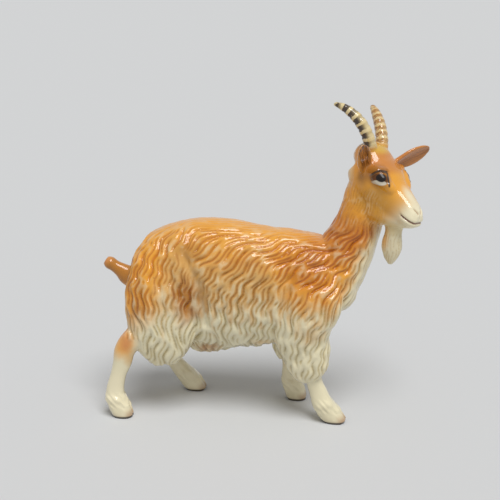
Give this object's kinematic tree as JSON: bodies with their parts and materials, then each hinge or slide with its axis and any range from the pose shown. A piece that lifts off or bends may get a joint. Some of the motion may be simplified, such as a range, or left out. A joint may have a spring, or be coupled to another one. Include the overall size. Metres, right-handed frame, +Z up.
{
  "type": "goat figurine",
  "caption": "Walking goat figurine in glazed earthenware, head turned to its right, with long carved coat, beard, ringed horns and short raised tail.",
  "frame": {"origin": "middle of the bounding box, on the surface that the hooves stand on", "axes": "+X the way the goat walks, +Y its own left side, +Z up"},
  "size_m": [0.1464, 0.0464, 0.1435],
  "materials": {
    "glazed_goat": "glossy clear glaze over sprayed orange-tan and cream underglaze colours"
  },
  "bodies": {
    "root": {"goat": "glazed_goat"}
  },
  "joints": []
}
